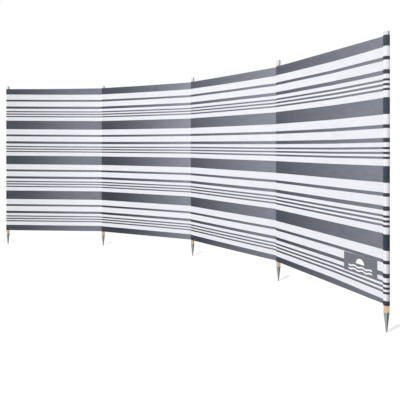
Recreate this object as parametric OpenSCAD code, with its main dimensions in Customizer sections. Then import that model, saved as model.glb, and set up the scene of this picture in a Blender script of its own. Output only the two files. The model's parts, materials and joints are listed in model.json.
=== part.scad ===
// Beach windbreak: five wooden poles in sleeves sewn into a striped cloth.
// It stands as a shallow bow of four bays. Its hollow, sheltered side faces -Y,
// +Z is up, and the origin is the tip of the middle pole's spike.
// Each bay's cloth leaves the front of the sleeve on its left, and is sewn to
// the left side of the sleeve on its right.

/* [Row of bays] */
// Distance between neighbouring pole axes
pole_pitch = 830; // [500:10:1200]
// Turn of the cloth towards the sheltered side at pole 2, in degrees
fold_2 = 20; // [0:1:60]
// Turn of the cloth towards the sheltered side at pole 3, in degrees
fold_3 = 25; // [0:1:60]
// Turn of the cloth towards the sheltered side at pole 4, in degrees
fold_4 = 16; // [0:1:60]

/* [Cloth] */
// Height of the cloth from edge to edge
cloth_h = 1200; // [900:10:1500]
// Thickness of the cloth
cloth_t = 1.2; // [0.6:0.1:2]
// Height of the hems, which are turned to the back
hem_h = 15; // [8:1:30]
// Room between a cap and the sleeve round it
sleeve_slack = 0.1; // [0.05:0.05:0.2]
// Gap that lets a bay swing round its neighbour's sleeve
fold_gap = 0.3; // [0.2:0.1:0.6]

/* [Poles] */
// Diameter of the wooden poles
pole_d = 25; // [20:0.5:32]
// Bare wood between the spike and the lower edge of the cloth
bare_h = 32; // [15:1:80]
// Height of each pole's cap above the cloth, pole 1 first
cap_rise = [26, 18, 32, 40, 18]; // [10:1:60]

/* [Caps] */
// Height of a cap
cap_h = 30; // [15:1:45]
// Wall of a cap
cap_wall = 0.6; // [0.4:0.1:0.6]
// Bevel round the top of a cap
cap_bevel = 1; // [0.2:0.1:2]

/* [Spikes] */
// Height of a spike
spike_h = 90; // [60:5:150]
// Wall of a spike, measured level
spike_wall = 0.8; // [0.5:0.1:1.5]
// Diameter of a spike's blunt tip
spike_tip_d = 5; // [3:0.5:8]
// Height of the solid part of a spike, which the pole's point stands on
spike_solid_h = 30; // [15:1:50]
// Room between the wood and the steel round it
fit_gap = 0.1; // [0.05:0.05:0.15]

/* [Label] */
// Width of the label
label_w = 210; // [80:5:300]
// Height of the label
label_h = 90; // [40:5:200]
// Thickness of the label
label_t = 0.6; // [0.3:0.1:1.5]
// Distance from the lower edge of the cloth up to the label
label_rise = 95; // [20:5:600]
// Distance from the last pole's axis to the label
label_inset = 52; // [20:1:200]

/* [Hidden] */
$fn = 96;

POLES = [1, 2, 3, 4, 5];
BAYS = [1, 2, 3, 4];
MIDDLE_POLE = 3;
LAST_POLE = 5;
// The bay whose cloth carries each pole, pole 1 first: the other bay at that pole swings on it
CARRIER = [1, 2, 2, 3, 4];
FOLDS = [fold_2, fold_3, fold_4];

pole_r = pole_d / 2;
cap_inner_r = pole_r + fit_gap;
cap_r = cap_inner_r + cap_wall;
sleeve_inner_r = cap_r + sleeve_slack;
sleeve_r = sleeve_inner_r + cloth_t;
spike_top_r = pole_r + fit_gap + spike_wall;
spike_tip_r = spike_tip_d / 2;
cloth_foot = spike_h + bare_h;
cloth_top = cloth_foot + cloth_h;
overshoot = 1;

wood_colour = "burlywood";
cloth_colour = "lightsteelblue";
hem_colour = "slategray";
cap_colour = "gainsboro";
spike_colour = "darkgray";
label_colour = "darkslategray";

// Heading of a bay while bay 1 still runs along +X
function raw_heading(bay) = bay == 1 ? 0 : raw_heading(bay - 1) - FOLDS[bay - 2];

// Step from one pole to the next along a heading
function step(heading) = pole_pitch * [cos(heading), sin(heading)];

// Place of a pole while pole 1 is still at the origin
function raw_place(pole) = pole == 1 ? [0, 0] : raw_place(pole - 1) + step(raw_heading(pole - 1));

function turned(p, angle) = [p.x * cos(angle) - p.y * sin(angle), p.x * sin(angle) + p.y * cos(angle)];

// The row is turned so that the first and last poles lie on a line along X
raw_chord = raw_place(LAST_POLE) - raw_place(1);
chord_heading = atan2(raw_chord.y, raw_chord.x);

function bay_heading(bay) = raw_heading(bay) - chord_heading;
function pole_place(pole) = turned(raw_place(pole) - raw_place(MIDDLE_POLE), -chord_heading);
function pole_top(pole) = cloth_top + cap_rise[pole - 1];

// Radius round a pole's axis at which a bay's cloth stops: sewn on, or free to swing
function end_r(bay, pole) = sleeve_r + (CARRIER[pole - 1] == bay ? 0 : fold_gap);

// Turn of a bay's cloth from the line between its pole axes, from the front of one
// sleeve to the side of the next
function lean(bay) = asin((end_r(bay, bay) + cloth_t / 2) / (pole_pitch - end_r(bay, bay + 1)));

// Depth of the cloth's back face from the left pole's axis, square to the cloth
function back_face(bay) = -end_r(bay, bay);

// Distance along the cloth at which a layer on its back clears the round of the left sleeve
function hem_start(bay) = sqrt(pow(sleeve_r + fold_gap, 2) - pow(back_face(bay) + cloth_t, 2));

// Level radius of the outside of a spike at a height
function spike_r(z) = spike_tip_r + (spike_top_r - spike_tip_r) * z / spike_h;

module at_pole(pole) {
    translate(pole_place(pole)) children();
}

module along_bay(bay) {
    translate(pole_place(bay)) rotate([0, 0, bay_heading(bay) + lean(bay)]) children();
}

// A wooden pole whose lower end is pointed to fill its spike
module pole(number) {
    wood_top = pole_top(number) - cap_wall;
    point_r = spike_r(spike_solid_h) - spike_wall - fit_gap;
    color(wood_colour) at_pole(number) rotate_extrude() polygon([
        [0, spike_solid_h],
        [point_r, spike_solid_h],
        [pole_r, spike_h],
        [pole_r, wood_top],
        [0, wood_top]
    ]);
}

// A pressed steel cup over the top of a pole
module cap(number) {
    top = pole_top(number);
    color(cap_colour) at_pole(number) rotate_extrude() polygon([
        [0, top],
        [cap_r - cap_bevel, top],
        [cap_r, top - cap_bevel],
        [cap_r, top - cap_h],
        [cap_inner_r, top - cap_h],
        [cap_inner_r, top - cap_wall],
        [0, top - cap_wall]
    ]);
}

// A steel cone over the foot of a pole, hollow down to its solid point
module spike(number) {
    color(spike_colour) at_pole(number) rotate_extrude() polygon([
        [0, 0],
        [spike_tip_r, 0],
        [spike_top_r, spike_h],
        [spike_top_r - spike_wall, spike_h],
        [spike_r(spike_solid_h) - spike_wall, spike_solid_h],
        [0, spike_solid_h]
    ]);
}

// The round pocket of cloth that a pole stands in
module sleeve(number) {
    color(cloth_colour) at_pole(number) rotate_extrude()
        translate([sleeve_inner_r, cloth_foot]) square([cloth_t, cloth_h]);
}

// A flat strip along a bay, from start to the round of the right sleeve
module strip(bay, start, front, bottom, height) {
    span = pole_pitch * cos(lean(bay));
    along_bay(bay) difference() {
        translate([start, front, bottom]) cube([span - start, cloth_t, height]);
        translate([span, -pole_pitch * sin(lean(bay)), bottom - overshoot])
            cylinder(h = height + 2 * overshoot, r = end_r(bay, bay + 1));
    }
}

module cloth(bay) {
    color(cloth_colour) strip(bay, 0, back_face(bay) - cloth_t, cloth_foot, cloth_h);
}

// The edge of the cloth, turned to the back
module hem(bay, bottom) {
    color(hem_colour) strip(bay, hem_start(bay), back_face(bay), bottom, hem_h);
}

// A printed patch on the sheltered side of the last bay
module label() {
    bay = LAST_POLE - 1;
    color(label_colour) along_bay(bay)
        translate([
            pole_pitch - label_inset - label_w,
            back_face(bay) - cloth_t - label_t,
            cloth_foot + label_rise
        ])
        cube([label_w, label_t, label_h]);
}

for (n = POLES) {
    pole(n);
    cap(n);
    spike(n);
    sleeve(n);
}
for (n = BAYS) {
    cloth(n);
    hem(n, cloth_top - hem_h);
    hem(n, cloth_foot);
}
label();
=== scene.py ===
# %% [markdown]
# # A striped beach windbreak
# A windbreak is one of the simplest things made of cloth: wooden poles stand in
# sleeves, and the wind does the rest. The frame file holds its exact sizes and
# the four stiff groups of pieces that swing at the inner poles. This lesson
# dresses that frame with cloth, wood and steel, one piece at a time.

import json
import math

import bpy
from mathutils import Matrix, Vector


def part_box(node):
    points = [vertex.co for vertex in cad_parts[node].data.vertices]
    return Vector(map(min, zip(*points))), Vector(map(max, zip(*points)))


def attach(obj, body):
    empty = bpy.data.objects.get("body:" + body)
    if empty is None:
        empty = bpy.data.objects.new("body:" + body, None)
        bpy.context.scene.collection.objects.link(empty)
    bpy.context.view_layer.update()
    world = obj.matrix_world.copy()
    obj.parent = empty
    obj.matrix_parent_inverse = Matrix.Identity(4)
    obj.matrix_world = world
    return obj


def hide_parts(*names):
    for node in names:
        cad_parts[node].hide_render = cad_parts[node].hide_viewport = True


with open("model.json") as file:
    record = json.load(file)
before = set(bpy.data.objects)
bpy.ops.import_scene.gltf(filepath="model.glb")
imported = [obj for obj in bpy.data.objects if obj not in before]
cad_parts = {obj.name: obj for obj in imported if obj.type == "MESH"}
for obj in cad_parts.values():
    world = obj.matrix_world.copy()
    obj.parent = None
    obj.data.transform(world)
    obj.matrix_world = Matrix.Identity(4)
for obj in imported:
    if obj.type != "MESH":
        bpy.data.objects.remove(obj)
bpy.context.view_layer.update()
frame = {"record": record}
bodies = frame["record"]["behaviour"]["bodies"]
body_of = {node: body for body, nodes in bodies.items() for node in nodes}

# %% [markdown]
# ## The camera
# The camera stands at waist height near the right end and looks along the row.
# It is level, so that upright poles stay parallel, and its lens is shifted down
# instead of the camera being tilted. A shift moves the view without making the
# verticals lean.

# %% Place the camera
CAMERA_PLACE = Vector((2.002, -2.665, 0.820))
CAMERA_TURN = math.radians(35.95)
camera_data = bpy.data.cameras.new("camera")
camera_data.lens = 39.4
camera_data.sensor_width = 36
camera_data.shift_y = -0.1297
camera_data.clip_end = 60
camera = bpy.data.objects.new("camera", camera_data)
camera.location = CAMERA_PLACE
camera.rotation_euler = (math.radians(90), 0, CAMERA_TURN)
bpy.context.scene.collection.objects.link(camera)
bpy.context.scene.camera = camera
print("camera at", tuple(CAMERA_PLACE))

# %% [markdown]
# ## Where the poles and the cloth are
# Nothing is placed by eye. The boxes of the frame's nodes say where each pole
# stands, how thick its sleeve is and how high the cloth hangs. Poles are
# numbered 1 to 5 from left to right, and bay 1 runs from pole 1 to pole 2.

# %% Read the frame's sizes
POLES = range(1, 6)
BAYS = range(1, 5)


def centre_of(node):
    low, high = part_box(node)
    return (low + high) / 2


def radius_of(node):
    low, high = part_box(node)
    return (high.x - low.x) / 2


pole_axis = {n: Vector((*centre_of(f"pole_{n}").xy, 0)) for n in POLES}
pole_r = radius_of("pole_1")
cap_r = radius_of("cap_1")
spike_r = radius_of("spike_1")
sleeve_r = radius_of("sleeve_1")
cloth_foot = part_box("sleeve_1")[0].z
cloth_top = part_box("sleeve_1")[1].z
cloth_h = cloth_top - cloth_foot
hem_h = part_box("top_hem_1")[1].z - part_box("top_hem_1")[0].z
print(f"cloth {cloth_h:.3f} m high, sleeves {sleeve_r * 2000:.0f} mm across")

# %% [markdown]
# ## Turning points into meshes
# Most pieces here are grids of cloth or turned shapes. Two helpers make both
# from rows of points: a grid joins neighbouring rows with four-sided faces, and
# a closed grid also joins each row's last point to its first, which makes a
# tube. Cloth is drawn as one surface, then given its thickness with a Solidify
# modifier, whose result replaces the mesh.


# %% Make meshes from rows of points
def piece_from(name, points, faces):
    mesh = bpy.data.meshes.new(name)
    mesh.from_pydata(points, [], faces)
    mesh.validate()
    piece = bpy.data.objects.new(name, mesh)
    bpy.context.scene.collection.objects.link(piece)
    return piece


def grid_faces(rows, columns, closed=False):
    faces = []
    for i in range(rows - 1):
        for j in range(columns if closed else columns - 1):
            k = (j + 1) % columns
            low, high = i * columns, (i + 1) * columns
            faces.append((low + j, low + k, high + k, high + j))
    return faces


def smooth(piece, sharp_over=40):
    piece.data.shade_smooth()
    piece.data.set_sharp_from_angle(angle=math.radians(sharp_over))


def worked_mesh(piece):
    """The piece's mesh after its modifiers."""
    bpy.context.view_layer.update()
    seen = piece.evaluated_get(bpy.context.evaluated_depsgraph_get())
    return bpy.data.meshes.new_from_object(seen)


def thicken(piece, thickness):
    solid = piece.modifiers.new("thickness", "SOLIDIFY")
    solid.thickness = thickness
    solid.offset = 0
    thick = worked_mesh(piece)
    piece.modifiers.clear()
    piece.data = thick


# %% [markdown]
# ## Colours and finishes
# Each finish is a small tree of nodes, and all its detail is calculated. Short
# helpers add a node, join two sockets, do a sum or mix two colours, which keeps
# each recipe readable. A Mix node keeps sockets for numbers, directions and
# colours side by side, so its colour sockets are named here by their places.

# %% Start a finish
MIX_SHARE, MIX_FIRST, MIX_SECOND, MIX_RESULT = 0, 6, 7, 2


def new_finish(name, roughness, metallic=0.0):
    finish = bpy.data.materials.new(name)
    finish.use_nodes = True
    shader = finish.node_tree.nodes["Principled BSDF"]
    shader.inputs["Roughness"].default_value = roughness
    shader.inputs["Metallic"].default_value = metallic
    return finish, shader


def add_node(finish, kind, **values):
    node = finish.node_tree.nodes.new(kind)
    for key, value in values.items():
        if key in node.inputs:
            node.inputs[key].default_value = value
        else:
            setattr(node, key, value)
    return node


def join(finish, out_socket, in_socket):
    finish.node_tree.links.new(out_socket, in_socket)


def feed(finish, socket, term):
    """Give a socket a plain value, or join another node's socket to it."""
    if isinstance(term, (int, float, tuple)):
        socket.default_value = term
    else:
        join(finish, term, socket)


def maths(finish, operation, *terms):
    node = add_node(finish, "ShaderNodeMath", operation=operation)
    for socket, term in zip(node.inputs, terms):
        feed(finish, socket, term)
    return node.outputs[0]


def mixed(finish, share, first, second, blend="MIX"):
    node = add_node(finish, "ShaderNodeMix", data_type="RGBA", blend_type=blend)
    feed(finish, node.inputs[MIX_SHARE], share)
    feed(finish, node.inputs[MIX_FIRST], first)
    feed(finish, node.inputs[MIX_SECOND], second)
    return node.outputs[MIX_RESULT]


def multiplied(finish, colour, factor):
    return mixed(finish, 1.0, colour, factor, blend="MULTIPLY")


def value_on_points(finish, name):
    node = add_node(finish, "ShaderNodeAttribute", attribute_name=name)
    return node.outputs["Fac"]


def place_on_object(finish):
    return add_node(finish, "ShaderNodeTexCoord").outputs["Object"]


def between(finish, value, low, high):
    node = add_node(finish, "ShaderNodeMapRange")
    node.inputs["To Min"].default_value = low
    node.inputs["To Max"].default_value = high
    join(finish, value, node.inputs["Value"])
    return node.outputs[0]


def bumped(finish, shader, height, strength, distance):
    bump = add_node(finish, "ShaderNodeBump", Strength=strength, Distance=distance)
    join(finish, height, bump.inputs["Height"])
    join(finish, bump.outputs[0], shader.inputs["Normal"])


# %% [markdown]
# ## Striped cloth
# The cloth is woven in level stripes that repeat every 296 mm: one broad band,
# a thin one, a middling one and a group of three thin ones. The plan counts
# downwards from the top of a broad band, and the cloth was cut 25 mm below the
# top of one. Every piece of cloth carries four values on its points: how far up
# the cloth a point lies, how far along it, and the tones of its slate and its
# white threads, which hold painted light and shade. The finish turns the first
# into stripes, so the stripes stay with the cloth when it moves. They could be
# painted as an image instead, but this plan stays sharp at any distance, and a
# stripe is changed by a number.

# %% The stripe plan
REPEAT = 0.296
CUT_BELOW_BAND = 0.025
STRIPES = (
    (0.0, 0.0720),
    (0.1158, 0.1320),
    (0.1745, 0.1940),
    (0.2133, 0.2243),
    (0.2340, 0.2450),
    (0.2545, 0.2652),
)
# Each yarn's painted light runs from its shaded colour to its lit colour.
SLATE_SHADED = (0.038, 0.043, 0.058, 1)
SLATE_LIT = (0.276, 0.297, 0.346, 1)
WHITE_SHADED = (0.745, 0.752, 0.790, 1)
WHITE_LIT = (0.925, 0.930, 0.970, 1)


def stripe_mask(finish, height_up):
    below_top = maths(finish, "SUBTRACT", cloth_h + CUT_BELOW_BAND, height_up)
    share = maths(finish, "FRACT", maths(finish, "DIVIDE", below_top, REPEAT))
    ramp = add_node(finish, "ShaderNodeValToRGB")
    ramp.color_ramp.interpolation = "CONSTANT"
    stops = ramp.color_ramp.elements
    stops[0].position, stops[0].color = 0, (1, 1, 1, 1)
    stops[1].position, stops[1].color = STRIPES[0][1] / REPEAT, (0, 0, 0, 1)
    for low, high in STRIPES[1:]:
        stops.new(low / REPEAT).color = (1, 1, 1, 1)
        stops.new(high / REPEAT).color = (0, 0, 0, 1)
    join(finish, share, ramp.inputs["Fac"])
    return ramp.outputs["Color"]


dark_share = sum(high - low for low, high in STRIPES) / REPEAT
print(f"{len(STRIPES)} stripes in {REPEAT * 1000:.0f} mm, {dark_share:.0%} dark")


# %% [markdown]
# ## Weave and dye
# Seen close, the cloth is a plain weave of matt polyester. Two sine waves
# multiplied together make the over and under of the threads, and they only
# bend the light, as a bump. A noise stretched along the cloth gives the slubs,
# the slightly thicker threads that make real cloth uneven. A second, large
# noise gives faint clouds where the cloth has faded, and a third, of a few
# centimetres, gives the slight mottle of cloth that was never ironed. Where a
# piece carries painted shade on its points, both its colours are painted
# darker. Modelling every thread would take millions of faces for something
# that shows only as a soft grain, so the finish does this work.

# %% Cloth finish
THREADS_PER_METRE = 900


def weave_height(finish, along, up):
    waves = []
    for distance in (along, up):
        turns = maths(finish, "MULTIPLY", distance, THREADS_PER_METRE * math.pi)
        waves.append(maths(finish, "SINE", turns))
    return maths(finish, "MULTIPLY", waves[0], waves[1])


def noise_on_cloth(finish, along, up, scale, stretch):
    place = add_node(finish, "ShaderNodeCombineXYZ")
    join(finish, maths(finish, "MULTIPLY", along, stretch), place.inputs[0])
    join(finish, up, place.inputs[1])
    noise = add_node(finish, "ShaderNodeTexNoise", Scale=scale, Detail=3.0)
    join(finish, place.outputs[0], noise.inputs["Vector"])
    return noise.outputs["Fac"]


def cloth_finish():
    finish, shader = new_finish("striped_cloth", roughness=0.8)
    shader.inputs["Sheen Weight"].default_value = 0.05
    shader.inputs["Sheen Roughness"].default_value = 0.4
    shader.inputs["Specular IOR Level"].default_value = 0.2
    names = ("up", "along", "slate_tone", "white_tone_and_light", "damp")
    up, along, slate_tone, white_tone_and_light, damp = (value_on_points(finish, name) for name in names)
    # Painted light: the tones on the points mix each yarn's shaded and lit colour.
    slate = mixed(finish, slate_tone, SLATE_SHADED, SLATE_LIT)
    white = mixed(finish, white_tone_and_light, WHITE_SHADED, WHITE_LIT)
    slubs = noise_on_cloth(finish, along, up, 320.0, 0.08)
    clouds = noise_on_cloth(finish, along, up, 5.0, 1.0)
    mottle = noise_on_cloth(finish, along, up, 42.0, 0.45)
    slate = multiplied(finish, slate, between(finish, mottle, 0.82, 1.18))
    # Painted shade: a value on the points darkens both colours.
    slate = multiplied(finish, slate, between(finish, damp, 1.0, 0.3))
    white = multiplied(finish, white, between(finish, mottle, 0.94, 1.06))
    white = multiplied(finish, white, between(finish, damp, 1.0, 0.5))
    stripes = mixed(finish, stripe_mask(finish, up), white, slate)
    unevenness = maths(
        finish,
        "MULTIPLY",
        between(finish, slubs, 0.93, 1.05),
        between(finish, clouds, 0.97, 1.03),
    )
    dyed = multiplied(finish, stripes, unevenness)
    join(finish, dyed, shader.inputs["Base Color"])
    join(finish, between(finish, slubs, 0.72, 0.88), shader.inputs["Roughness"])
    height = maths(finish, "ADD", weave_height(finish, along, up), slubs)
    bumped(finish, shader, height, 0.3, 0.0003)
    return finish


striped = cloth_finish()
print("striped cloth repeats every", REPEAT, "m")

# %% [markdown]
# ## How the stripes drift
# No cloth is perfectly true. Here the stripes keep level at the left end, but
# towards the right end the cloth is pulled a little longer, so they sit up to
# 21 mm lower. The table holds that drift in millimetres for five heights, at
# the poles and at one place inside the last bay, and the values in between
# are found by straight-line steps.

# %% Stripe drift
def clamped(share):
    return max(0.0, min(1.0, share))


DRIFT_BELOW_TOP = (0.046, 0.310, 0.605, 0.902, 1.165)
DRIFT = {
    1.0: (-2, -3.5, -1.5, -1, -5),
    2.0: (5, 3.5, 4, 2, -4),
    3.0: (5, 5, 8, 8, 0),
    4.0: (6, 9, 15, 16, 8),
    4.6: (6, 10, 16, 20, 10),
    5.0: (1, 6, 15, 21, 20),
}


def in_steps(value, marks):
    """Where value lies among the marks: the step before it and the share."""
    for k, (low, high) in enumerate(zip(marks, marks[1:])):
        if value <= high:
            return k, clamped((value - low) / (high - low))
    return len(marks) - 2, 1.0


def drift(place_in_row, up):
    places = list(DRIFT)
    p, p_share = in_steps(place_in_row, places)
    h, h_share = in_steps(cloth_h - up, DRIFT_BELOW_TOP)
    ends = []
    for place in (places[p], places[p + 1]):
        low, high = DRIFT[place][h : h + 2]
        ends.append(low + (high - low) * h_share)
    return (ends[0] + (ends[1] - ends[0]) * p_share) / 1000


print("the stripes drift by up to", max(max(row) for row in DRIFT.values()), "mm")

# %% [markdown]
# ## Painted light along the cloth
# Each bay is painted darkest where it leaves its own pole and palest where it
# meets the next sleeve: painted light that rises along the bay and starts again
# at each pole. The lowest part of the cloth is painted a little darker, as
# painted shade. Tones run from 0, deep, to 1, pale, and the slate threads change
# much more than the white ones. Lamps alone can't do this, since a flat bay
# takes nearly the same light all over, so the painted light is written on its
# points.


# %% Painted light along a bay
def evenly(share):
    return share


def late(share):
    return share**1.5


def easing(share):
    return share * share * (3 - 2 * share)


# Painted light: how pale each bay's slate and white are painted at its two ends, and the
# painted shade that darkens its foot.
SLATE_PAINTED_LIGHT = {
    1: (0.11, 0.70, easing),
    2: (0.10, 0.93, late),
    3: (0.20, 0.80, evenly),
    4: (0.19, 0.68, evenly),
}
WHITE_PAINTED_LIGHT = {1: (0.05, 0.9), 2: (0.25, 0.47), 3: (0.14, 0.2), 4: (0.14, 0.02)}
FOOT_PAINTED_SHADE = {1: 0.06, 2: 0.22, 3: 0.27, 4: 0.22}
WHITE_FOOT_SHADE_SHARE = 1 / 3


def bay_painted_light(number, share, up):
    share = clamped(share)
    low_down = clamped(1 - up / cloth_h) ** 2
    first, last, run = SLATE_PAINTED_LIGHT[number]
    deeper = FOOT_PAINTED_SHADE[number] * low_down
    slate = first + (last - first) * run(share) - deeper
    first, last = WHITE_PAINTED_LIGHT[number]
    return slate, first + (last - first) * share - deeper * WHITE_FOOT_SHADE_SHARE


for number in BAYS:
    low, high = (bay_painted_light(number, share, cloth_h)[0] for share in (0, 1))
    print(f"bay {number} goes from tone {low:.2f} to {high:.2f}")


# %% [markdown]
# ## Setting out the bays
# A bay leaves the front of the sleeve on its left and is sewn to the left side
# of the sleeve on its right, so its plane leans by about a degree from the
# line between the poles. Where a bay meets a sleeve that moves with another
# bay, a gap of 0.3 mm lets it swing. The bay keeps its own directions: along
# the cloth, behind it and up.

# %% Set out a bay
CLOTH_THICKNESS = 0.00045
SWING_GAP = 0.0003


class Bay:
    def __init__(self, number):
        self.number = number
        self.body = body_of[f"cloth_{number}"]
        left, right = pole_axis[number], pole_axis[number + 1]
        self.depth = -(self.end_radius(number) + CLOTH_THICKNESS / 2)
        reach = (right - left).length - self.end_radius(number + 1)
        heading = math.atan2(right.y - left.y, right.x - left.x)
        heading += math.asin(-self.depth / reach)
        self.start = left
        self.along = Vector((math.cos(heading), math.sin(heading), 0))
        self.back = Vector((-math.sin(heading), math.cos(heading), 0))
        self.run = math.sqrt(reach**2 - self.depth**2)

    def end_radius(self, pole):
        sewn = body_of[f"sleeve_{pole}"] == self.body
        return sleeve_r + (0 if sewn else SWING_GAP)

    def place(self, along, behind, up):
        level = self.along * along + self.back * (self.depth + behind)
        return self.start + level + Vector((0, 0, cloth_foot + up))


bays = {n: Bay(n) for n in BAYS}
for bay in bays.values():
    print(f"bay {bay.number} rides on {bay.body}, {bay.run:.3f} m of cloth")

# %% [markdown]
# ## Hanging the cloth
# The bays are stretched but not stiff: they weigh something and a little air
# leans on them. A cloth simulation finds that shape. A coarse sheet is held
# along both ends, pushed gently backwards and left to hang for 40 frames. Only
# its shifts are kept, and they are scaled so that the belly is 7 mm deep and
# the middle hangs 3 mm low.

# %% Simulate a bay
SIM_COLUMNS, SIM_ROWS = 34, 48
SIM_FRAMES = 40
BELLY, SAG = 0.007, 0.003


def coarse_sheet(bay):
    points = [
        bay.place(bay.run * column / SIM_COLUMNS, 0, cloth_h * row / SIM_ROWS)
        for row in range(SIM_ROWS + 1)
        for column in range(SIM_COLUMNS + 1)
    ]
    return piece_from("hanging", points, grid_faces(SIM_ROWS + 1, SIM_COLUMNS + 1))


def hang(sheet):
    row_starts = [row * (SIM_COLUMNS + 1) for row in range(SIM_ROWS + 1)]
    ends = [start + side for start in row_starts for side in (0, SIM_COLUMNS)]
    sheet.vertex_groups.new(name="sewn").add(ends, 1.0, "REPLACE")
    cloth = sheet.modifiers.new("hang", "CLOTH")
    cloth.settings.quality = 6
    cloth.settings.mass = 0.25
    cloth.settings.tension_stiffness = 18
    cloth.settings.compression_stiffness = 9
    cloth.settings.shear_stiffness = 3
    cloth.settings.bending_stiffness = 0.4
    cloth.settings.air_damping = 3
    cloth.settings.vertex_group_mass = "sewn"
    cloth.settings.use_pressure = True
    cloth.settings.uniform_pressure_force = -0.35
    cloth.collision_settings.use_collision = False
    cloth.point_cache.frame_end = SIM_FRAMES
    for frame_number in range(1, SIM_FRAMES + 1):
        bpy.context.scene.frame_set(frame_number)
    return worked_mesh(sheet)


def hung_shifts(bay):
    sheet = coarse_sheet(bay)
    before = [point.co.copy() for point in sheet.data.vertices]
    hung = hang(sheet)
    shifts = [after.co - start for after, start in zip(hung.vertices, before)]
    bpy.data.objects.remove(sheet)
    bpy.context.scene.frame_set(1)
    return [(shift.dot(bay.along), shift.dot(bay.back), shift.z) for shift in shifts]



# %% [markdown]
# A coarse simulation always hangs looser than the real cloth. So its greatest
# shifts are measured first, and all of them are scaled by the same share, which
# keeps the shape. Between the corners of the coarse grid a shift is found by
# mixing the four nearest ones.

# %% Scale the shifts
CELL_END = 1e-6


def settle(bay):
    shifts = hung_shifts(bay)
    deepest = max(abs(behind) for _, behind, _ in shifts)
    lowest = max(abs(down) for _, _, down in shifts)
    deep, low = BELLY / deepest, min(1.0, SAG / lowest)
    scale = Vector((low, deep, low))
    bay.shifts = [Vector(shift) * scale for shift in shifts]
    found = f"belly {deepest * 1000:.1f} mm, sag {lowest * 1000:.1f} mm"
    print(f"bay {bay.number} hung, {found} before scaling")


def shift_at(bay, along, up):
    column = max(0.0, min(SIM_COLUMNS - CELL_END, along / bay.run * SIM_COLUMNS))
    row = max(0.0, min(SIM_ROWS - CELL_END, up / cloth_h * SIM_ROWS))
    c, r = int(column), int(row)
    found = Vector((0, 0, 0))
    for i, row_share in ((r, 1 - (row - r)), (r + 1, row - r)):
        for j, column_share in ((c, 1 - (column - c)), (c + 1, column - c)):
            shift = bay.shifts[i * (SIM_COLUMNS + 1) + j]
            found += shift * row_share * column_share
    return found


for bay in bays.values():
    settle(bay)

# %% [markdown]
# ## Puckers at the seams
# A machine seam draws the cloth up slightly, so it puckers: tiny ripples that
# die out a few centimetres from the thread. They are added to the hung shape
# where the bay is sewn, and one function then answers where any point of a
# bay's cloth lies. Every seam, fold, stitch and label uses that function, so
# they all follow the cloth.

# %% Where the cloth lies
PUCKER = 0.0003
PUCKER_SPACING = 0.021
PUCKER_REACH = 0.035
SEWN_DOWN = 0.004


def pucker(bay, along, up):
    near_left = math.exp(-along / PUCKER_REACH)
    near_right = math.exp(-(bay.run - along) / PUCKER_REACH)
    held = clamped(min(along, bay.run - along) / SEWN_DOWN)
    uneven = 1.3 * math.sin(up * 23) + bay.number
    ripple = math.sin(up * math.tau / PUCKER_SPACING + uneven)
    return PUCKER * held * (near_left + near_right) * (1 + ripple)


def on_bay(bay, along, up, behind=0.0):
    shift = shift_at(bay, along, up)
    back = shift.y + pucker(bay, along, up) + behind
    return bay.place(along + shift.x, back, up + shift.z)


# %% [markdown]
# ## The cloth of a bay
# The panel is one fine grid. Its upper and lower edges are turned to the back
# as hems, so each column of the grid starts on the inside of the lower hem,
# goes round the fold, up the front, and over the top fold into the upper hem.
# The path lists how far behind the cloth each step lies, its height, and the
# place on the cloth that sets its stripe. A hem could be a strip of its own,
# but then its stripes would have to be matched to the panel's by hand.

# %% The way up a bay
CELL = 0.010
HEM_STEPS, FOLD_STEPS = 3, 5


def hem_path(fold_r):
    turn = math.pi * fold_r
    path = []
    for step in range(HEM_STEPS):
        up = hem_h - (hem_h - fold_r) * step / HEM_STEPS
        path.append((2 * fold_r, up, 2 * fold_r - turn - up))
    for step in range(FOLD_STEPS):
        share = step / FOLD_STEPS
        angle = math.pi * share
        behind = fold_r + fold_r * math.cos(angle)
        up = fold_r - fold_r * math.sin(angle)
        path.append((behind, up, fold_r - turn * (1 - share)))
    rows = round(cloth_h / CELL)
    for row in range(rows + 1):
        up = fold_r + (cloth_h - 2 * fold_r) * row / rows
        path.append((0.0, up, up))
    hem = path[: HEM_STEPS + FOLD_STEPS]
    upper = [(behind, cloth_h - up, cloth_h - on_cloth) for behind, up, on_cloth in hem]
    return path + upper[::-1]


def set_values(piece, **values):
    for name, numbers in values.items():
        layer = piece.data.attributes.new(name, "FLOAT", "POINT")
        layer.data.foreach_set("value", numbers)


def make_cloth(name, points, faces, values):
    piece = piece_from(name, points, faces)
    columns = zip(*values)
    set_values(piece, **dict(zip(("up", "along", "slate_tone", "white_tone_and_light"), columns)))
    thicken(piece, CLOTH_THICKNESS)
    smooth(piece, 60)
    piece.data.materials.append(striped)
    return piece


# %% [markdown]
# The hem's fold is a half circle of 0.6 mm radius. At the left end of a bay the
# hem opens over the first 8 mm, because there the cloth comes off the sleeve as
# a single layer.

# %% Weave the bays
HEM_FOLD_R = 0.0006
HEM_OPENS = 0.008


def bay_values(bay, along, on_cloth):
    share = along / bay.run
    up = on_cloth + drift(bay.number + share, on_cloth)
    return up, along, *bay_painted_light(bay.number, share, on_cloth)


def weave_bay(bay):
    path = hem_path(HEM_FOLD_R)
    columns = round(bay.run / CELL)
    points, values = [], []
    for behind, up, on_cloth in path:
        for column in range(columns + 1):
            along = bay.run * column / columns
            opened = min(1.0, along / HEM_OPENS)
            points.append(on_bay(bay, along, up, behind * opened))
            values.append(bay_values(bay, along, on_cloth))
    faces = grid_faces(len(path), columns + 1)
    return make_cloth(f"bay_{bay.number}_cloth", points, faces, values)


panels = {}
for number, bay in bays.items():
    panel = panels[number] = weave_bay(bay)
    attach(panel, bay.body)
    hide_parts(f"cloth_{number}", f"top_hem_{number}", f"bottom_hem_{number}")
    print(panel.name, len(panel.data.polygons), "faces")

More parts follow.
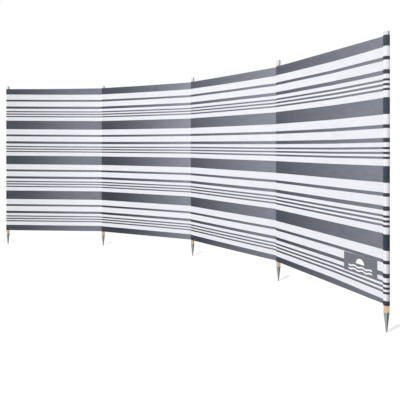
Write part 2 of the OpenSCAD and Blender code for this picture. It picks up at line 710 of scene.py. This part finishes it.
# %% [markdown]
# ## Seam folds
# At each end the cloth goes round the pole and is sewn back onto itself, so a
# strip of doubled cloth lies behind the bay. It tucks under the hems. The
# strip on the right is 32 mm wide and the one on the left is 24 mm. Seen from
# the back, these strips are what shows that the cloth was sewn.

# %% Fold the seams
FOLD_BEHIND = CLOTH_THICKNESS + 0.00008
SEAM_FOLDS = {"left": (0.0085, 0.0325), "right": (-0.0340, -0.0020)}
FOLD_COLUMNS, FOLD_ROWS = 5, 120
FOLD_SHORT = 0.002


def fold_seam(bay, side):
    ends = [edge if edge > 0 else bay.run + edge for edge in SEAM_FOLDS[side]]
    points, values = [], []
    for row in range(FOLD_ROWS + 1):
        up = FOLD_SHORT + (cloth_h - 2 * FOLD_SHORT) * row / FOLD_ROWS
        for column in range(FOLD_COLUMNS + 1):
            along = ends[0] + (ends[1] - ends[0]) * column / FOLD_COLUMNS
            points.append(on_bay(bay, along, up, FOLD_BEHIND))
            values.append(bay_values(bay, along, up))
    faces = grid_faces(FOLD_ROWS + 1, FOLD_COLUMNS + 1)
    return make_cloth(f"bay_{bay.number}_{side}_fold", points, faces, values)


seam_folds = {}
for number, bay in bays.items():
    seam_folds[number] = [fold_seam(bay, side) for side in SEAM_FOLDS]
    for fold in seam_folds[number]:
        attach(fold, bays[number].body)
print("seams folded:", sum(len(folds) for folds in seam_folds.values()))

# %% [markdown]
# ## Sleeves
# A sleeve is a tube of the same cloth round a pole, with its mouth turned in
# as a hem at both ends. It has the same stripes, because it is woven from the
# same plan. A perfectly round tube would look like a pipe, so its radius
# wanders by a few tenths of a millimetre. Its tones are painted light: each
# sleeve is painted deep, with painted shade at the foot, and at the inner
# poles a painted highlight, as pale as the end of the bay on the left, lies on
# the side that faces that bay and turns deep towards the front.

# %% Sew the sleeves
SLEEVE_SIDES = 72
SLEEVE_FOLD_R = 0.00028
# Painted light on each sleeve, the painted shade at its foot, and the width of the painted
# highlight at the inner poles.
SLEEVE_PAINTED_LIGHT = {
    1: (0.05, 0.1),
    2: (0.09, 0.4),
    3: (0.17, 0.35),
    4: (0.16, 0.3),
    5: (0.07, 0.2),
}
SLEEVE_FOOT_PAINTED_SHADE = 0.12
PAINTED_HIGHLIGHT_ARC = math.radians(50)
SLOW_WANDER, QUICK_WANDER = 0.00012, 0.00006


def sleeve_wander(angle, up):
    slow = math.sin(2 * angle + up * 7) * math.sin(up * 11 + angle)
    quick = math.sin(up * 130 + 3 * angle) * math.sin(up * 47)
    return -SLOW_WANDER * (1 + slow) - QUICK_WANDER * (1 + quick)


def sleeve_painted_light(number, angle, up):
    low_down = SLEEVE_FOOT_PAINTED_SHADE * max(0.0, 1 - up / cloth_h) ** 2
    tones = [tone - low_down for tone in SLEEVE_PAINTED_LIGHT[number]]
    if number in (1, 5):
        return tones
    arriving = bays[number - 1]
    left = math.atan2(-arriving.along.y, -arriving.along.x)
    past = (angle - left + math.pi) % math.tau - math.pi
    # Painted highlight on the side that faces the bay on the left.
    pale = clamped(2 * (1 - abs(past) / PAINTED_HIGHLIGHT_ARC))
    bay_end = bay_painted_light(number - 1, 1.0, up)
    return [tone + (end - tone) * pale for tone, end in zip(tones, bay_end)]


def sew_sleeve(number):
    axis = pole_axis[number]
    outer_r = sleeve_r - CLOTH_THICKNESS / 2
    path = hem_path(SLEEVE_FOLD_R)
    points, values = [], []
    for inwards, up, on_cloth in path:
        for j in range(SLEEVE_SIDES):
            angle = math.tau * j / SLEEVE_SIDES
            radius = outer_r - inwards + sleeve_wander(angle, up)
            spoke = Vector((math.cos(angle), math.sin(angle), 0)) * radius
            points.append(axis + spoke + Vector((0, 0, cloth_foot + up)))
            striped_up = on_cloth + drift(float(number), on_cloth)
            tones = sleeve_painted_light(number, angle, up)
            values.append((striped_up, angle * outer_r, *tones))
    faces = grid_faces(len(path), SLEEVE_SIDES, closed=True)
    return make_cloth(f"sleeve_{number}_cloth", points, faces, values)


sleeves = {}
for number in POLES:
    sleeve = sleeves[number] = sew_sleeve(number)
    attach(sleeve, body_of[f"sleeve_{number}"])
    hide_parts(f"sleeve_{number}")
print("sleeves sewn:", len(sleeves))

# %% [markdown]
# ## Painted shade on the last sleeve
# The outer side of the last sleeve, away from the light, is painted darker,
# most of all at the foot: painted shade. It could be painted on by hand. Here
# it is worked out for each point from its angle round the pole and its height,
# which keeps its edges soft.

# %% Paint shade on the last sleeve
# Painted shade: where round the sleeve it starts, is full and is gone, and how much of it is
# left at the top.
SHADE_FROM, SHADE_FULL, SHADE_GONE = (math.radians(turn) for turn in (-95, -30, 120))
SHADE_AT_TOP = 0.1


def damp_at(point, axis):
    angle = math.atan2(point.y - axis.y, point.x - axis.x)
    round_it = clamped((angle - SHADE_FROM) / (SHADE_FULL - SHADE_FROM))
    if angle > 0:
        round_it = max(0.0, 1 - angle / SHADE_GONE)
    down = clamped(1 - (point.z - cloth_foot) / cloth_h)
    return round_it * (SHADE_AT_TOP + (1 - SHADE_AT_TOP) * down**1.5)


last_pole = POLES[-1]
last_sleeve = sleeves[last_pole]
# Painted shade on the outer side of the last sleeve.
dampness = [damp_at(point.co, pole_axis[last_pole]) for point in last_sleeve.data.vertices]
set_values(last_sleeve, damp=dampness)
print(f"sleeve {last_pole} dampened, up to {max(dampness):.2f}")

# %% [markdown]
# ## Stitches
# Rows of lockstitch hold the hems, the seam folds and the sleeve mouths. Every
# stitch is a small raised lozenge about 3 mm long. Thousands of them are cheap,
# since a stitch is only eight triangles, so all the stitches of a piece are
# gathered into one mesh. Drawn in the finish alone, they would be flat when
# seen along the seam.

# %% A stitch
STITCH_LONG, STITCH_WIDE, STITCH_HIGH = 0.0028, 0.0008, 0.00022
STITCH_PITCH = 0.004


class Stitching:
    def __init__(self, name):
        self.name, self.points, self.faces = name, [], []

    def add(self, centre, along, out):
        side = along.cross(out).normalized() * (STITCH_WIDE / 2)
        reach = along.normalized() * (STITCH_LONG / 2)
        rise = out.normalized() * STITCH_HIGH
        first = len(self.points)
        for shift in (-reach, side, reach, -side, rise, -rise):
            self.points.append(centre + shift)
        for k in range(4):
            a, b = first + k, first + (k + 1) % 4
            self.faces += [(b, a, first + 4), (a, b, first + 5)]

    def done(self):
        piece = piece_from(self.name, self.points, self.faces)
        piece.data.shade_smooth()
        piece.data.materials.append(thread)
        return piece


THREAD_DEEP, THREAD_PALE = (0.22, 0.23, 0.26, 1), (0.44, 0.45, 0.49, 1)


def thread_finish():
    finish, shader = new_finish("sewing_thread", roughness=0.6)
    fuzz = add_node(finish, "ShaderNodeTexNoise", Scale=900.0, Detail=2.0)
    join(finish, place_on_object(finish), fuzz.inputs["Vector"])
    colour = mixed(finish, fuzz.outputs["Fac"], THREAD_DEEP, THREAD_PALE)
    join(finish, colour, shader.inputs["Base Color"])
    bumped(finish, shader, fuzz.outputs["Fac"], 0.4, 0.0002)
    return finish


thread = thread_finish()
print(f"thread ready, a stitch every {STITCH_PITCH * 1000:.0f} mm")

# %% [markdown]
# Each place gets one stitch on the front and one on the back, just as the
# needle thread and the bobbin thread lie. The rows along a hem start 8 mm from
# the sleeve, so that a bay can fold back without rubbing them on the stitches
# of the sleeve. Four upright rows hold the two seam folds.

# %% Stitch the bays
UPRIGHT = Vector((0, 0, 1))
HEM_STITCH_UP = 0.0115
HEM_STITCHES_SKIPPED, SEAM_STITCHES_SKIPPED = 2, 5
SEAM_STITCHES = (0.0110, 0.0300, -0.0045, -0.0315)


def stitch_bay(bay):
    rows = Stitching(f"bay_{bay.number}_stitches")
    front, back = -CLOTH_THICKNESS / 2, CLOTH_THICKNESS / 2
    for up in (HEM_STITCH_UP, cloth_h - HEM_STITCH_UP):
        for k in range(HEM_STITCHES_SKIPPED, int(bay.run / STITCH_PITCH)):
            along = k * STITCH_PITCH
            rows.add(on_bay(bay, along, up, front), bay.along, -bay.back)
            rows.add(on_bay(bay, along, up, 2 * HEM_FOLD_R + back), bay.along, bay.back)
    last = int(cloth_h / STITCH_PITCH) + 1 - SEAM_STITCHES_SKIPPED
    for edge in SEAM_STITCHES:
        along = edge if edge > 0 else bay.run + edge
        for k in range(SEAM_STITCHES_SKIPPED, last):
            up = k * STITCH_PITCH
            rows.add(on_bay(bay, along, up, front), UPRIGHT, -bay.back)
            rows.add(on_bay(bay, along, up, FOLD_BEHIND + back), UPRIGHT, bay.back)
    return rows.done()


bay_stitches = {}
for number, bay in bays.items():
    rows = bay_stitches[number] = stitch_bay(bay)
    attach(rows, bay.body)
print("bays stitched")

# %% [markdown]
# The mouth of a sleeve is stitched round, in line with the hem of the bay
# beside it. Only the outer thread shows, because the pole fills the inside.

# %% Stitch the sleeves
MOUTH_STITCHES = 22


def stitch_sleeve(number):
    rows = Stitching(f"sleeve_{number}_stitches")
    axis = pole_axis[number]
    for up in (HEM_STITCH_UP, cloth_h - HEM_STITCH_UP):
        for k in range(MOUTH_STITCHES):
            angle = math.tau * (k + 0.5) / MOUTH_STITCHES
            out = Vector((math.cos(angle), math.sin(angle), 0))
            radius = sleeve_r + sleeve_wander(angle, up)
            along = Vector((-out.y, out.x, 0))
            rows.add(axis + out * radius + Vector((0, 0, cloth_foot + up)), along, out)
    return rows.done()


sleeve_stitches = {}
for number in POLES:
    rows = sleeve_stitches[number] = stitch_sleeve(number)
    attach(rows, body_of[f"sleeve_{number}"])
print("sleeves stitched")

# %% [markdown]
# ## The label
# A woven patch is sewn low on the last bay, with a plain print on it: a sun
# over two waves. The print is worked out from two values on the patch, how far
# across and how far up it a point lies, so its edges stay sharp at any
# distance.

# %% Read the label's place
label_low, label_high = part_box("label")
label_middle = centre_of("label")
label_bay = bays[4]
label_along = (label_middle - label_bay.start).dot(label_bay.along)
label_up = label_middle.z - cloth_foot
LABEL_H = label_high.z - label_low.z
LABEL_W = (label_high.x - label_low.x) / abs(label_bay.along.x)
print(f"label {LABEL_W * 1000:.0f} by {LABEL_H * 1000:.0f} mm")

# %% [markdown]
# The sun is the upper half of a disc: the part of the patch that is near enough
# to the disc's middle and above it. A wave is every part that is near enough to
# a sine curve. Each of these answers yes or no as 1 or 0, and the greatest of
# them says where the print is.

# %% Print a sun and waves
PRINT_WHITE = (0.86, 0.87, 0.90, 1)
SUN_R, SUN_UP = 0.026, 0.003
WAVE_LENGTH, WAVE_REACH = 0.050, 0.0745
WAVE_HALF_WIDTH, WAVE_SWING = 0.0035, 0.0026
WAVE_HEIGHTS = (-0.0125, -0.0285)


def wave_line(finish, across, up, height):
    turns = maths(finish, "MULTIPLY", across, math.tau / WAVE_LENGTH)
    wave = maths(finish, "MULTIPLY", maths(finish, "SINE", turns), WAVE_SWING)
    over = maths(finish, "SUBTRACT", maths(finish, "SUBTRACT", up, wave), height)
    near = maths(finish, "LESS_THAN", maths(finish, "ABSOLUTE", over), WAVE_HALF_WIDTH)
    inside = maths(finish, "LESS_THAN", maths(finish, "ABSOLUTE", across), WAVE_REACH)
    return maths(finish, "MULTIPLY", near, inside)


def label_finish():
    finish, shader = new_finish("label_weave", roughness=0.7)
    names = ("across", "rise", "slate_tone")
    across, up, tone = (value_on_points(finish, name) for name in names)
    above = maths(finish, "SUBTRACT", up, SUN_UP)
    squares = [maths(finish, "MULTIPLY", offset, offset) for offset in (across, above)]
    in_disc = maths(finish, "LESS_THAN", maths(finish, "ADD", *squares), SUN_R**2)
    risen = maths(finish, "GREATER_THAN", above, 0.0)
    print_mask = maths(finish, "MULTIPLY", in_disc, risen)
    for height in WAVE_HEIGHTS:
        wave = wave_line(finish, across, up, height)
        print_mask = maths(finish, "MAXIMUM", print_mask, wave)
    slate = mixed(finish, tone, SLATE_SHADED, SLATE_LIT)
    colour = mixed(finish, print_mask, slate, PRINT_WHITE)
    grain = noise_on_cloth(finish, across, up, 900.0, 0.3)
    speckled = multiplied(finish, colour, between(finish, grain, 0.88, 1.06))
    join(finish, speckled, shader.inputs["Base Color"])
    bumped(finish, shader, weave_height(finish, across, up), 0.25, 0.0002)
    return finish


# %% [markdown]
# The patch lies a fraction of a millimetre in front of the cloth, and every
# point of it goes through the same function as the cloth, so the two bend
# alike. One row of stitches runs round it, near its edge.

# %% Sew the label on
LABEL_THICKNESS = 0.0005
LABEL_FRONT = -(CLOTH_THICKNESS / 2 + 0.0004)
LABEL_COLUMNS, LABEL_ROWS = 30, 14
LABEL_EDGE = 0.0025
LABEL_TONE = 0.42


def sew_label():
    points, values = [], []
    for row in range(LABEL_ROWS + 1):
        rise = LABEL_H * (row / LABEL_ROWS - 0.5)
        for column in range(LABEL_COLUMNS + 1):
            across = LABEL_W * (column / LABEL_COLUMNS - 0.5)
            along, up = label_along + across, label_up + rise
            points.append(on_bay(label_bay, along, up, LABEL_FRONT))
            values.append((across, rise, LABEL_TONE))
    faces = grid_faces(LABEL_ROWS + 1, LABEL_COLUMNS + 1)
    patch = piece_from("label_patch", points, faces)
    across_values, rises, tones = zip(*values)
    set_values(patch, across=across_values, rise=rises, slate_tone=tones)
    thicken(patch, LABEL_THICKNESS)
    smooth(patch, 60)
    patch.data.materials.append(label_finish())
    return patch


def stitch_label():
    rows = Stitching("label_stitches")
    half_w, half_h = LABEL_W / 2 - LABEL_EDGE, LABEL_H / 2 - LABEL_EDGE

    def stitch(across, rise, along):
        place = on_bay(label_bay, label_along + across, label_up + rise, front)
        rows.add(place, along, -label_bay.back)

    front = LABEL_FRONT - LABEL_THICKNESS / 2
    for side in (-1, 1):
        for k in range(int(2 * half_w / STITCH_PITCH) + 1):
            stitch(-half_w + k * STITCH_PITCH, side * half_h, label_bay.along)
        for k in range(1, int(2 * half_h / STITCH_PITCH) + 1):
            stitch(side * half_w, -half_h + k * STITCH_PITCH, UPRIGHT)
    return rows.done()


label_patch, label_rows = sew_label(), stitch_label()
for piece in (label_patch, label_rows):
    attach(piece, label_bay.body)
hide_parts("label")
print("label sewn on bay 4")

# %% [markdown]
# ## The cloth as cut, and the pieces of each bay
# A bay's panel was cut as wide as the gap between the sleeves, and as tall as
# the cloth with both hems opened out. A sleeve was a long strip. Here the seam
# folds and stitches of each bay, and on the last bay the label too, are gathered
# in a list, and the panels and sleeves are counted.

for number, bay in bays.items():
    going_along = [*seam_folds[number], bay_stitches[number]]
    if number == label_bay.number:
        going_along += [label_patch, label_rows]
print("sheets declared:", len(panels) + len(sleeves))

# %% [markdown]
# ## Turned shapes
# A pole, a cap and a spike are all round about their own axis, so each is one
# outline turned round that axis, as on a lathe. The outline is a list of
# radius and height pairs. Its two ends are closed by fans of triangles. An
# optional wobble changes the radius by the angle round the axis.


# %% A lathe
def lathe(name, axis, outline, sides=64, wobble=None):
    points = []
    for radius, height in outline:
        for j in range(sides):
            angle = math.tau * j / sides
            grown = radius + (wobble(angle) if wobble else 0)
            x, y = grown * math.cos(angle), grown * math.sin(angle)
            points.append((axis.x + x, axis.y + y, height))
    faces = grid_faces(len(outline), sides, closed=True)
    first, last = len(points), len(points) + 1
    points += [(axis.x, axis.y, outline[0][1]), (axis.x, axis.y, outline[-1][1])]
    top = (len(outline) - 1) * sides
    for j in range(sides):
        k = (j + 1) % sides
        faces += [(first, k, j), (last, top + j, top + k)]
    piece = piece_from(name, points, faces)
    smooth(piece)
    return piece


# %% [markdown]
# ## Wooden poles
# The poles are plain pine dowels. Most of each is hidden, but a short length
# shows under the cloth, and at pole 4 a little shows above it. The grain runs
# along the pole: noise that is squeezed sideways and stretched upwards gives
# long, narrow streaks.


# %% Pine
PINE_STOPS = ((0.3, (0.50, 0.335, 0.205, 1)), (0.72, (0.73, 0.555, 0.385, 1)))


def pine_finish():
    finish, shader = new_finish("pale_pine", roughness=0.55)
    stretch = add_node(finish, "ShaderNodeMapping", Scale=(1, 1, 0.05))
    join(finish, place_on_object(finish), stretch.inputs["Vector"])
    grain = add_node(finish, "ShaderNodeTexNoise", Scale=420.0, Detail=5.0)
    join(finish, stretch.outputs[0], grain.inputs["Vector"])
    ramp = add_node(finish, "ShaderNodeValToRGB")
    for stop, (position, colour) in zip(ramp.color_ramp.elements, PINE_STOPS):
        stop.position, stop.color = position, colour
    join(finish, grain.outputs["Fac"], ramp.inputs["Fac"])
    join(finish, ramp.outputs["Color"], shader.inputs["Base Color"])
    dry = between(finish, grain.outputs["Fac"], 0.45, 0.7)
    join(finish, dry, shader.inputs["Roughness"])
    bumped(finish, shader, grain.outputs["Fac"], 0.3, 0.0004)
    return finish


pine = pine_finish()
print("pine ready, from", len(PINE_STOPS), "colours")

# %% [markdown]
# A pole is cut to a cone at its foot, which the spike hides, and the edge of
# its top is bevelled by a millimetre so that the cap slides on.

# %% Turn the poles
POINT_R = 0.0045
TOP_BEVEL = 0.001
POINT_ROOM, POINT_BELOW = 0.0003, 0.004


def turn_pole(number):
    low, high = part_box(f"pole_{number}")
    spike_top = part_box(f"spike_{number}")[1].z
    outline = [
        (POINT_R, low.z),
        (pole_r - POINT_ROOM, spike_top - POINT_BELOW),
        (pole_r, spike_top),
        (pole_r, cloth_foot + 0.02),
        (pole_r, high.z - TOP_BEVEL),
        (pole_r - TOP_BEVEL, high.z),
    ]
    pole = lathe(f"pine_pole_{number}", pole_axis[number], outline, sides=48)
    pole.data.materials.append(pine)
    return pole


for number in POLES:
    pole = turn_pole(number)
    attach(pole, body_of[f"pole_{number}"])
    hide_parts(f"pole_{number}")
print("poles turned")

# %% [markdown]
# ## Steel
# Caps and spikes are thin zinc-plated sheet. Bare metal has almost no colour
# of its own: it shows the room. A fine noise varies both the colour and the
# roughness, so that the reflections break up as they do on plated sheet. Where
# a piece carries painted shade on its points, the steel is painted darker.


# %% Zinc-plated steel
SPANGLE_DULL = 0.78
# How dark the painted shade makes the steel.
SIDE_SHADE_DARKNESS = 0.34


def steel_finish(name, colour, roughness, metallic):
    finish, shader = new_finish(name, roughness=roughness, metallic=metallic)
    noise = add_node(finish, "ShaderNodeTexNoise", Scale=120.0, Detail=4.0)
    join(finish, place_on_object(finish), noise.inputs["Vector"])
    spangle = noise.outputs["Fac"]
    dull = tuple(part * SPANGLE_DULL for part in colour) + (1,)
    sheet = mixed(finish, spangle, dull, (*colour, 1))
    # Painted shade: a value on the points darkens the steel.
    darkened = between(finish, value_on_points(finish, "tarnish"), 1.0, SIDE_SHADE_DARKNESS)
    join(finish, multiplied(finish, sheet, darkened), shader.inputs["Base Color"])
    broken_up = between(finish, spangle, roughness * 0.7, roughness * 1.3)
    join(finish, broken_up, shader.inputs["Roughness"])
    bumped(finish, shader, spangle, 0.15, 0.0003)
    return finish


bright_steel = steel_finish("bright_steel", (0.86, 0.87, 0.88), 0.2, 1.0)
dull_steel = steel_finish("dull_steel", (0.36, 0.37, 0.375), 0.40, 0.7)
print("steel ready:", bright_steel.name, "and", dull_steel.name)

# %% [markdown]
# ## Caps
# Each cap is a cup pressed from sheet and driven over the top of its pole. The
# press leaves a rounded shoulder, and the lower edge is curled into a thin
# bead. A shallow groove under the shoulder grips the wood. A plain cylinder
# would look like a peg, because its sharp edge has nothing to catch the light.

# %% Press the caps
CAP_SHEET = 0.0006
SHOULDER, SHOULDER_STEPS = 0.0016, 6
BEAD, BEAD_STEPS = 0.0007, 4
BEAD_PROUD = 0.00025
GROOVE_DOWN, GROOVE_HALF_H, GROOVE_DEPTH = 0.007, 0.001, 0.0003


def press_cap(number):
    low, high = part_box(f"cap_{number}")
    skin, inside = cap_r - BEAD_PROUD, cap_r - CAP_SHEET
    groove = high.z - GROOVE_DOWN
    outline = [(inside, high.z - CAP_SHEET), (inside, low.z + BEAD)]
    for step in range(BEAD_STEPS + 1):
        angle = math.pi * (1 - step / BEAD_STEPS)
        radius = inside + CAP_SHEET / 2 * (1 + math.cos(angle))
        outline.append((radius, low.z + BEAD * (1 - math.sin(angle))))
    outline += [(skin, low.z + 2.5 * BEAD), (skin, groove - GROOVE_HALF_H)]
    outline += [(skin - GROOVE_DEPTH, groove), (skin, groove + GROOVE_HALF_H)]
    outline.append((skin, high.z - SHOULDER))
    for step in range(1, SHOULDER_STEPS + 1):
        angle = math.pi / 2 * step / SHOULDER_STEPS
        radius = skin - SHOULDER * (1 - math.cos(angle))
        outline.append((radius, high.z - SHOULDER * (1 - math.sin(angle))))
    outline.append((cap_r * 0.4, high.z - 0.0001))
    cap = lathe(f"steel_cap_{number}", pole_axis[number], outline, sides=96)
    cap.data.materials.append(bright_steel)
    return cap


for number in POLES:
    cap = press_cap(number)
    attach(cap, body_of[f"cap_{number}"])
    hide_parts(f"cap_{number}")
print("caps pressed")

# %% [markdown]
# ## Spikes
# The spikes are cones rolled from sheet, and the sheet laps over itself. The
# outline steps out by the thickness of the sheet at the lap and eases back
# round the cone, which is what the wobble function does. The flap on one side
# of the lap is painted darker, as painted shade, and each spike's lap is turned
# nearly towards the camera, so the painted shade covers the half on the
# camera's right. The tip is blunt.

# %% Roll the spikes
TIP_R, TIP_BEVEL, TIP_H = 0.0033, 0.0006, 0.0014
CONE_STEPS = 12
# Each lap is turned nearly towards the camera, so the painted shade lies on the right as seen
# from there.
LAP_DEGREES = {1: -20, 2: -32, 3: -43, 4: -54, 5: -67}
LAP_STEP = 0.0006
MOUTH_ROOM, MOUTH_DEPTH = 0.0001, 0.003
LAP_EASE = math.radians(150)
# How far round the painted shade fades out.
SIDE_SHADE_EASE = math.radians(40)


def past_lap(number, angle):
    return (angle - math.radians(LAP_DEGREES[number])) % math.tau


def lap(number, angle):
    return LAP_STEP * (max(0.0, 1 - past_lap(number, angle) / LAP_EASE) - 1)


def tarnish_at(number, point):
    spoke = point - pole_axis[number]
    past = past_lap(number, math.atan2(spoke.y, spoke.x))
    return clamped((LAP_EASE - past) / SIDE_SHADE_EASE)


def roll_spike(number):
    low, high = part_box(f"spike_{number}")
    outline = [(TIP_R - TIP_BEVEL, low.z), (TIP_R, low.z + TIP_H)]
    for step in range(1, CONE_STEPS + 1):
        share = step / CONE_STEPS
        radius = TIP_R + (spike_r - TIP_R) * share
        outline.append((radius, low.z + (high.z - low.z) * share))
    mouth_r = pole_r + LAP_STEP
    outline.append((mouth_r + MOUTH_ROOM, high.z - MOUTH_ROOM))
    outline.append((mouth_r, high.z - MOUTH_DEPTH))
    spike = lathe(
        f"steel_spike_{number}",
        pole_axis[number],
        outline,
        sides=120,
        wobble=lambda angle: lap(number, angle),
    )
    # Painted shade on the half past the lap.
    darkness = [tarnish_at(number, point.co) for point in spike.data.vertices]
    set_values(spike, tarnish=darkness)
    spike.data.materials.append(dull_steel)
    return spike


for number in POLES:
    spike = roll_spike(number)
    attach(spike, body_of[f"spike_{number}"])
    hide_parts(f"spike_{number}")
print("spikes rolled")

# %% [markdown]
# ## Floor
# The floor is a light table: it glows by itself, so shadows on it stay faint.
# It glows more away from the object, where the lamp's light meets it at a lower
# angle, and it has no gloss, which would wash the shadows out when they are
# seen from low down. It is only scenery and no part of the object.

# %% Lay the floor
FLOOR_HALF = 14.0
GLOW_SPAN, GLOW = (1.0, 4.0), (0.72, 0.95)


def eased(tree, value, span, results):
    """Pass softly from one result to the other as the value crosses the span."""
    node = add_node(tree, "ShaderNodeMapRange", interpolation_type="SMOOTHSTEP")
    names = ("From Min", "From Max", "To Min", "To Max")
    for name, number in zip(names, (*span, *results)):
        node.inputs[name].default_value = number
    join(tree, value, node.inputs["Value"])
    return node.outputs[0]


sides = [(-1, -1), (1, -1), (1, 1), (-1, 1)]
corners = [(x * FLOOR_HALF, y * FLOOR_HALF, 0) for x, y in sides]
floor = piece_from("floor", corners, [(0, 1, 2, 3)])
floor_finish, floor_shader = new_finish("light_table", roughness=0.9)
floor_shader.inputs["Base Color"].default_value = (0.08, 0.08, 0.08, 1)
floor_shader.inputs["Emission Color"].default_value = (1, 1, 1, 1)
floor_shader.inputs["Specular IOR Level"].default_value = 0
distance = add_node(floor_finish, "ShaderNodeVectorMath", operation="LENGTH")
join(floor_finish, place_on_object(floor_finish), distance.inputs[0])
glow = eased(floor_finish, distance.outputs["Value"], GLOW_SPAN, GLOW)
join(floor_finish, glow, floor_shader.inputs["Emission Strength"])
floor.data.materials.append(floor_finish)
print("floor laid,", 2 * FLOOR_HALF, "m wide")

# %% [markdown]
# ## Room light
# The room is white to look at, but it lights the object as a soft room that is
# bright at the front and darker behind on the right, which gives round things
# a light side and a dark side. What the steel mirrors has more contrast still,
# as when a studio hangs a dark cloth beside bare metal.

# %% Light the room
def shaded_room(world, name, towards, span, strengths):
    """A background whose strength changes from one side of the room to the other."""
    direction = add_node(world, "ShaderNodeTexCoord").outputs["Generated"]
    facing = add_node(world, "ShaderNodeVectorMath", operation="DOT_PRODUCT")
    join(world, direction, facing.inputs[0])
    facing.inputs[1].default_value = towards
    shade = eased(world, facing.outputs["Value"], span, strengths)
    room = add_node(world, "ShaderNodeBackground", name=name)
    join(world, shade, room.inputs["Strength"])
    room.inputs["Color"].default_value = (1, 1, 1, 1)
    return room.outputs[0]


def chosen_by(world, ray_kind, otherwise, chosen):
    choice = add_node(world, "ShaderNodeMixShader")
    ray = add_node(world, "ShaderNodeLightPath")
    join(world, ray.outputs[ray_kind], choice.inputs[0])
    join(world, otherwise, choice.inputs[1])
    join(world, chosen, choice.inputs[2])
    return choice.outputs[0]


world = bpy.data.worlds.new("studio")
world.use_nodes = True
soft_room = shaded_room(
    world, "soft room", towards=(0.80, 0.60, 0.0), span=(-0.2, 0.85), strengths=(0.92, 0.20)
)
mirrored_room = shaded_room(
    world, "mirrored room", towards=(0.81, 0.59, 0.0), span=(0.05, 0.9), strengths=(1.05, 0.34)
)
seen_white = world.node_tree.nodes["Background"]
seen_white.inputs["Color"].default_value = (1, 1, 1, 1)
lit = chosen_by(world, "Is Glossy Ray", soft_room, mirrored_room)
lit = chosen_by(world, "Is Camera Ray", lit, seen_white.outputs[0])
join(world, lit, world.node_tree.nodes["World Output"].inputs["Surface"])
bpy.context.scene.world = world
bpy.context.scene.view_settings.view_transform = "Standard"
print("room lit")

# %% [markdown]
# ## Sun and lamp
# A broad sun from the front left adds shape to the object. A lamp on a stand
# in front is linked to the floor alone, so it can be as bright as the shadows
# need without bleaching the cloth, and because it stands near, the shadows of
# the poles fan out. The cloth would throw one wide shadow over the whole floor
# behind it, which says nothing about the object, so only the spikes are allowed
# to block these lights. They throw the short, thin shadows that show where each
# tip stands. The lamp's light is set not to fall off with distance, so it makes
# no hot spot on the floor below it.

# %% Hang the sun and the lamp
SUN_RAYS = Vector((0.23, 0.60, -0.77))
blockers = bpy.data.collections.new("casts_a_shadow")
for number in POLES:
    blockers.objects.link(bpy.data.objects[f"steel_spike_{number}"])
floor_only = bpy.data.collections.new("floor_only")
floor_only.objects.link(floor)


def hang_light(name, kind, energy):
    data = bpy.data.lights.new(name, kind)
    data.energy = energy
    light = bpy.data.objects.new(name, data)
    light.light_linking.blocker_collection = blockers
    bpy.context.scene.collection.objects.link(light)
    return light


broad_sun = hang_light("broad_sun", "SUN", 0.85)
broad_sun.data.angle = math.radians(7)
broad_sun.rotation_euler = SUN_RAYS.to_track_quat("-Z", "Y").to_euler()
floor_lamp = hang_light("floor_lamp", "POINT", 210)
floor_lamp.data.shadow_soft_size = 0.08
floor_lamp.location = (0.71, -4.16, 2.8)
floor_lamp.light_linking.receiver_collection = floor_only
floor_lamp.data.use_nodes = True
falloff = add_node(floor_lamp.data, "ShaderNodeLightFalloff", Strength=1.0)
lamp_glow = floor_lamp.data.node_tree.nodes["Emission"]
join(floor_lamp.data, falloff.outputs["Constant"], lamp_glow.inputs["Strength"])

# %% The end
print("scene built")
